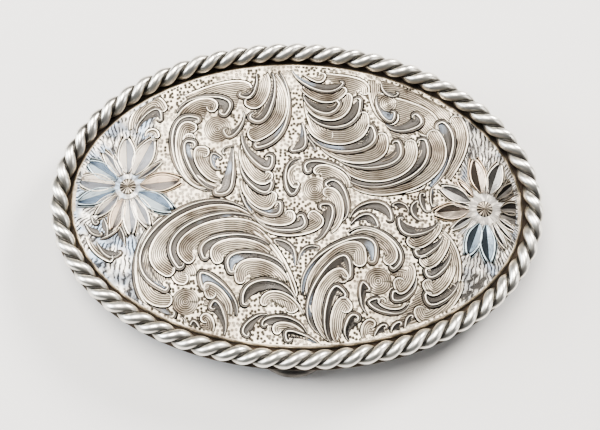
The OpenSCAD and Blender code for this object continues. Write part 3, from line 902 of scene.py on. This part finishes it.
def addEdge(bm, marks, path, profile, width, lift):
    # the outline and rim that run along the outer edge and round the tip
    rootRise, growth = leafShape["rootRise"]

    def place(i, j):
        share, rise, mark = profile[j]
        spot = path["edge"][i] + path["inward"][i] * share * edgeRoom(path, width, i)
        rise *= min(1.0, rootRise + growth * i / leafShape["rows"])
        return onLeaf(spot, rise, lift), (mark, path["walked"][i])

    gridPatch(bm, marks, len(path["edge"]) - 1, len(profile) - 1, place)


def addBlade(bm, marks, path, edgeWidth, smooth, lift, spread):
    # the field inside the rim, with its rows across the leaf
    rows = leafShape["rows"]
    columns = leafShape["bladeColumns"]
    radius = path["radius"]
    inner = radius - min(edgeWidth * leafShape["bladeStart"], radius * leafShape["bladeMost"])
    high, fall, last = leafShape["hollow" if smooth else "hatched"]
    rootSpread, growth = leafShape["rootSpread"]

    def place(i, j):
        across = j / columns
        if i <= rows:
            along = i / rows
            start = edgeRoom(path, edgeWidth, i) * leafShape["bladeStart"]
            body = 2 * radius * spread * min(1.0, rootSpread + growth * along)
            toTip = max(0.0, along - leafShape["tipFrom"]) / (1 - leafShape["tipFrom"])
            full = body + (radius + inner - body) * toTip ** 2
            room = max(full - start, leafShape["bladeLeast"])
            spot = path["edge"][i] + path["inward"][i] * (start + room * across)
            distance = start + (full - start) * across
        else:
            angle = radians(leafShape["bladeTurn"]) * (i - rows) / leafShape["bladeTipRows"]
            sideways = inner * cos(angle) * (2 * across - 1)
            spot = path["centre"] + path["first"] * sideways + path["ahead"] * inner * sin(angle)
            distance = radius + sideways
        if j == columns:
            rise = 0.0
        elif smooth:
            rise = high - fall * sin(pi * across) - last * across
        else:
            rise = high - fall * sin(pi / 2 * min(1.0, across / last))
        return onLeaf(spot, rise, lift), (across if smooth else distance, path["walked"][min(i, rows)])

    gridPatch(bm, marks, rows + leafShape["bladeTipRows"], columns, place)


def makeLeaves(kind, profile, rim, field):
    bm = bmesh.new()
    marks = {}
    edgeWidth = leafShape["edgeWidth"][kind]
    for name, spray in [*scrolls.items(), ("under", underLeaves)]:
        base = leafShape["under"] if name == "under" else 0.0
        for order, (leafKind, width, *places) in enumerate(spray):
            if leafKind != kind:
                continue
            path = leafPath(width, places)
            lift = leafShape["rise"] * order + base
            addEdge(bm, marks, path, profile, edgeWidth, lift)
            before = set(bm.faces)
            spread = leafShape["spread"][kind] if order < len(spray) - 1 else 1.0
            addBlade(bm, marks, path, edgeWidth, kind == band, lift, spread)
            for face in bm.faces:
                if face not in before:
                    face.material_index = 1
    closeBelow(bm, leafShape["depth"])
    writeMarks(bm, marks)
    finishPiece(kind + "_leaves", bm, [rim, field])


makeLeaves(band, bandedProfile, bandedRim, smoothHollow)
makeLeaves(hatch, hatchedProfile, hatchedRim, hatchedLeaf)
print("scroll leaves made")


# Low domes on the face: the eyes of the scrolls, cut with fine circles, and the middles of the daisies

eyes = [
    # x, y, radius
    (-14.8, 13.0, 2.6),
    (3.0, 2.2, 2.3),
    (-19.0, -18.5, 2.4),
    (14.5, -14.0, 2.5),
    (16.1, 18.9, 1.7),
]
# How a dome is made: rise of its rim and middle, radiating cuts, and how far it reaches into the plate
eyeShape = {"rings": 14, "sides": 48, "base": 0.05, "dome": 0.05, "cuts": 0, "cutLift": 0.0, "depth": 0.2}
heartShape = {"rings": 12, "sides": 72, "base": 0.1, "dome": 0.16, "cuts": 12, "cutLift": 0.05, "depth": 0.3}
heartRadius = 1.5
hearts = [(*daisy["centre"], heartRadius) for daisy in daisies.values()]


def makeDomes(name, domes, shape, material):
    bm = bmesh.new()
    marks = {}
    rings = shape["rings"]
    for x, y, radius in domes:

        def place(i, j):
            reach = radius * (i + 0.02) / rings
            angle = tau * j / shape["sides"]
            cut = shape["cutLift"] * cos(angle * shape["cuts"]) * min(1.0, i / 5)
            rise = shape["dome"] * (1 - (i / rings) ** 2) + shape["base"] + cut if i < rings else -0.02
            return onPanel(x + reach * cos(angle), y + reach * sin(angle), rise), (reach, angle)

        gridPatch(bm, marks, rings, shape["sides"], place)
    writeMarks(bm, marks)
    closeBelow(bm, shape["depth"])
    weld(bm, 0.002)
    finishPiece(name, bm, [material])


makeDomes("scroll_eyes", eyes, eyeShape, hatchedLeaf)


# Daisies' petals

# Across a petal, on either side: share of its half-width, distance beyond it in mm, lift in mm
petalFlank = [
    (0.0, 0.0, 0.27), (0.10, 0.0, 0.25), (0.60, 0.0, 0.17), (1.0, 0.0, 0.10), (1.0, 0.09, 0.10),
    (1.0, 0.15, 0.22), (1.0, 0.32, 0.22), (1.0, 0.38, 0.09), (1.0, 0.52, 0.09), (1.0, 0.64, 0.12),
    (1.0, 0.76, 0.01),
]


def petalWidth(along):
    # slim where it starts, widest near the middle, then closing to its point
    widest = petalShape["widest"]
    if along < widest:
        share, end = sin(pi / 2 * along / widest), 0
    else:
        share, end = cos(pi / 2 * (along - widest) / (1 - widest)), 1
    return max(petalShape["least"][end], share ** petalShape["curve"][end])


def makeDaisies():
    bm = bmesh.new()
    marks = {}
    flank = len(petalFlank) - 1
    (rootRidge, ridgeGrowth), (rootRise, riseGrowth) = petalShape["rootRidge"], petalShape["rootRise"]
    tones = list(petalSheenAndShade)
    for which, daisy in enumerate(daisies.values()):
        centre = Vector(daisy["centre"])
        for order, (direction, length, width, tone) in enumerate(daisy["petals"]):
            number = tones.index(tone) + len(tones) * which
            turn = radians(direction)
            # the petal's facets on the side that looks towards the daisy's shade direction get painted shade
            flip = 1 if sin(radians(daisy["paintedShadeSide"] - direction)) < 0 else -1
            ahead = Vector((cos(turn), sin(turn)))
            across = Vector((-ahead.y, ahead.x))
            lift = petalShape["rise"] * order

            def place(i, j):
                step = j - flank
                share, beyond, rise = petalFlank[abs(step)]
                side = 1 if step > 0 else -1
                along = i / petalShape["rows"]
                half = (width / 2 - petalShape["ridge"]) * petalWidth(along)
                tight = min(1.0, rootRidge + ridgeGrowth * along) * min(1.0, width / 2)
                push = max(0.0, along - petalShape["widest"]) / (1 - petalShape["widest"])
                reach = daisy["start"] + (length - daisy["start"]) * along
                reach += petalShape["point"] * beyond * push ** 3
                spot = centre + ahead * reach + across * side * (share * half + beyond * tight)
                mark = 0.5 + 0.5 * flip * step / flank
                rise = rise * min(1.0, rootRise + riseGrowth * along) + lift
                return onPanel(spot.x, spot.y, rise), (mark, 2 * number + along)

            gridPatch(bm, marks, petalShape["rows"], 2 * flank, place)
    writeMarks(bm, marks)
    closeBelow(bm, petalShape["depth"])
    finishPiece("daisy_petals", bm, [petalMetal()])


def heartMetal():
    # fine strokes that run out from the daisy's middle
    material, tree, place, dulling, pits = newMetal("daisy heart", 0.37, 0.07)
    strokes = addCutLines(tree, readMarks(tree)[1], "heart", place)
    land = addMix(tree, dulling, "hatchLand", "hatchDull")
    colour = addMix(tree, strokes["Line"], land, "endCut")
    return finishMetal(material, colour, strokes["Height"], "heart")


def petalRamp(tree, across, facetInShade, facetInLight):
    # the side in painted shade first: its outline, the light band round it, its bright edge and its facet in
    # painted shade
    return addRamp(tree, across, [
        (0.0, "endShadeGrey"), (0.05, "hatchLand"), (0.09, "outline"), (0.155, "outline"), (0.195, "bright"),
        (0.255, "bright"), (0.305, "outline"), (0.345, facetInShade), (0.46, facetInShade), (0.49, "outline"),
        (0.515, facetInLight), (0.655, facetInLight), (0.675, "outline"), (0.70, "outline"), (0.745, "bright"),
        (0.805, "bright"), (0.845, "outline"), (0.91, "outline"), (0.95, "hatchLand"), (1.0, "endShadeGrey"),
    ])


def petalMetal():
    material, tree, place, dulling, pits = newMetal("petal", 0.36)
    across, along = readMarks(tree)[:2]
    tones = len(petalSheenAndShade)
    number = addMath(tree, "FLOOR", times(tree, along, 0.5))
    right = addMath(tree, "GREATER_THAN", number, tones - 0.5)
    # each petal's facets are painted lit on one side and shaded on the other
    soft = petalRamp(tree, across, "facetGreyInShade", "facetPaleInLight")
    hard = petalRamp(tree, across, "facetInShade", "facetInLight")
    # strokes that run along the petal, and its painted tint: a cool or warm painted reflection on some
    # petals, painted shade on others
    strokes = addCutLines(tree, across, "petal", place)["Line"]
    streaks = addRange(tree, addNoise(tree, place, 700.0, 2.0), 0.5, 0.66)
    cut = times(tree, times(tree, strokes, streaks), 0.6)
    colour = addMix(tree, cut, addMix(tree, right, soft, hard), "endCut")
    tone = addMath(tree, "DIVIDE", times(tree, right, -tones, number), tones - 1)
    tint = addRamp(tree, tone, [(round(k / (tones - 1), 3), c) for k, c in enumerate(petalSheenAndShade.values())])
    return finishMetal(material, addMix(tree, 1.0, colour, tint, "MULTIPLY"), pits, "smooth")


makeDaisies()
makeDomes("daisy_hearts", hearts, heartShape, heartMetal())
print("daisies and eyes made")


# Rope edge: two strands twisted round the ring, which turn 31 and a half times and so join end to end

rope = {
    "turns": 31.5,
    "start": 31.5,        # where a strand stands at the right-hand end, in degrees
    "strandSides": 16,
    "stepsPerTurn": 24,
    "strandShare": 0.56,  # radius of a strand over the rope's radius
    "coreRadius": 1.0,    # dark metal that fills the grooves between the strands
    "wireRadius": 0.13,   # a fine wire lies in each groove
    "wireReach": 1.02,
    "wireSides": 6,
    "ovalSteps": 1440,    # steps in which the ring's length is measured
}
# Colour of a strand from painted shade in its groove, where the strands meet, to its polished crown
strandShadeStops = [
    (0.0, (0.008, 0.007, 0.006)), (0.36, (0.012, 0.011, 0.010)), (0.46, (0.15, 0.14, 0.125)),
    (0.60, (0.52, 0.495, 0.44)), (0.85, (0.90, 0.87, 0.80)), (1.0, (0.96, 0.93, 0.86)),
]
ropeH = buckle["flange"] + buckle["seat"] + ropeR
lapSteps = round(rope["turns"] * rope["stepsPerTurn"])


def ringPoints():
    # points at even distances round the ring's oval, with the outward and upward directions there
    count = rope["ovalSteps"]
    turns = [tau * k / count for k in range(count + 1)]
    fine = [(ringA * cos(t), ringB * sin(t)) for t in turns]
    walked = [0.0]
    for a, b in zip(fine, fine[1:]):
        walked.append(walked[-1] + dist(a, b))
    points = []
    for k, share in list(evenSteps(walked, walked[-1], lapSteps))[:-1]:
        t = tau * (k + share) / count
        x, y = ringA * cos(t), ringB * sin(t)
        slope = -x / (bowAt(x, ropeH) - bowZ)
        along = Vector((-ringA * sin(t), ringB * cos(t), -ringA * sin(t) * slope)).normalized()
        out = Vector((ringB * cos(t), ringA * sin(t), 0.0)).normalized()
        points.append((Vector((x, y, bowAt(x, ropeH))), out, out.cross(along)))
    return points


def addWinding(bm, marks, start, reach, radius, sides, laps):
    # one closed tube that winds round the ring and meets its own start
    ring = ringPoints()
    steps = laps * lapSteps
    path = []
    for k in range(steps):
        middle, out, up = ring[k % lapSteps]
        angle = radians(start) + tau * k / rope["stepsPerTurn"]
        path.append(middle + (out * cos(angle) + up * sin(angle)) * reach)

    def place(i, j):
        k = i % steps
        middle, out, up = ring[k % lapSteps]
        ahead = (path[(k + 1) % steps] - path[k - 1]).normalized()
        outward = path[k] - middle if reach > 0 else out
        outward = (outward - ahead * outward.dot(ahead)).normalized()
        side = ahead.cross(outward)
        angle = tau * (j % sides) / sides
        spot = path[k] + (outward * cos(angle) + side * sin(angle)) * radius
        return spot * mm, (j / sides, i / rope["stepsPerTurn"])

    gridPatch(bm, marks, steps, sides, place)


def makeRopePiece(name, material, windings):
    bm = bmesh.new()
    marks = {}
    for winding in windings:
        addWinding(bm, marks, *winding)
    writeMarks(bm, marks)
    weld(bm, 0.0005)
    return finishPiece(name, bm, [material])


def strandMetal():
    # polished on the crown of each strand, with painted shade where the strands meet
    material, tree, place, dulling, pits = newMetal("rope metal", 0.35, 0.06)
    crown = addMath(tree, "COSINE", times(tree, readMarks(tree)[0], tau))
    colour = addRamp(tree, times(tree, crown, 0.5, 0.5), strandShadeStops)
    colour = addMix(tree, times(tree, dulling, 0.30), colour, "strandDull")
    return finishMetal(material, colour, pits, "rope")


strandR = rope["strandShare"] * ropeR
strands = makeRopePiece("rope_strands", strandMetal(), [
    # where it starts in degrees, its reach from the rope's middle, radius, sides and laps
    (rope["start"], ropeR - strandR, strandR, rope["strandSides"], 2),
])
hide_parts("rope_edge")
makeRopePiece("rope_core", plainMetal("rope core", "core", 0.45), [
    (0, 0, rope["coreRadius"], rope["strandSides"], 1),
    (rope["start"] + 90, rope["wireReach"], rope["wireRadius"], rope["wireSides"], 2),
])
print("rope made")


# The loop and the hook keep their solids, in the back metal darkened as painted shade

for name in ("belt_loop", "hook"):
    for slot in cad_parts[name].material_slots:
        slot.material = shadedBackMetal
print("shaded back metal set")


# Floor, light and camera

studio = {
    "floorSize": 2.0,
    "floor": (0.80, 0.79, 0.78),
    "floorRough": 0.85,
    "world": (0.90, 0.93, 1.0),
    "worldStrength": 0.12,
}
lamps = [
    # name, place in m, size in m, power in W, colour
    ("overhead", (-0.14, 0.20, 0.70), 0.46, 9.2, (1.0, 0.955, 0.89)),
    ("key", (0.42, 0.42, 0.40), 0.20, 6.2, (1.0, 0.97, 0.93)),
    ("left fill", (-0.55, 0.06, 0.30), 0.40, 4.0, (0.92, 0.96, 1.0)),
    ("right fill", (0.60, -0.10, 0.28), 0.35, 1.2, (1.0, 0.98, 0.95)),
]


def makeStudio():
    material = bpy.data.materials.new("pale floor")
    material.use_nodes = True
    shader = material.node_tree.nodes["Principled BSDF"].inputs
    shader["Base Color"].default_value = (*studio["floor"], 1.0)
    shader["Roughness"].default_value = studio["floorRough"]
    bm = bmesh.new()
    bmesh.ops.create_grid(bm, x_segments=1, y_segments=1, size=studio["floorSize"] / 2)
    floor = addMesh("floor", bm, [material])
    world = bpy.data.worlds.new("studio")
    world.use_nodes = True
    sky = world.node_tree.nodes["Background"].inputs
    sky[0].default_value = (*studio["world"], 1.0)
    sky[1].default_value = studio["worldStrength"]
    bpy.context.scene.world = world
    for name, place, size, power, colour in lamps:
        light = bpy.data.lights.new(name, "AREA")
        light.shape = "DISK"
        light.size = size
        light.energy = power
        light.color = colour
        lamp = addObject(name, light)
        lamp.location = place
        lamp.rotation_euler = (-Vector(place)).to_track_quat("-Z", "Y").to_euler()


camera = {
    "target": (0.544, -2.632, 10.95),
    "azimuth": -1.81,
    "elevation": 77.07,
    "distance": 171.2,
    "roll": 3.39,
    "lens": 58.06,
    "sensor": 36.0,
    "nearest": 0.01,      # in m
}


def makeCamera():
    azimuth = radians(camera["azimuth"])
    elevation = radians(camera["elevation"])
    level = cos(elevation)
    back = Vector((sin(azimuth) * level, -cos(azimuth) * level, sin(elevation)))
    data = bpy.data.cameras.new("camera")
    data.lens = camera["lens"]
    data.sensor_width = camera["sensor"]
    data.clip_start = camera["nearest"]
    eye = addObject("camera", data)
    eye.location = (Vector(camera["target"]) + back * camera["distance"]) * mm
    turn = (-back).to_track_quat("-Z", "Y").to_matrix().to_4x4()
    eye.rotation_euler = (turn @ Matrix.Rotation(radians(camera["roll"]), 4, "Z")).to_euler()
    bpy.context.scene.camera = eye
    bpy.context.scene.view_settings.look = "AgX - Medium High Contrast"


makeStudio()
makeCamera()
print("studio and camera made")
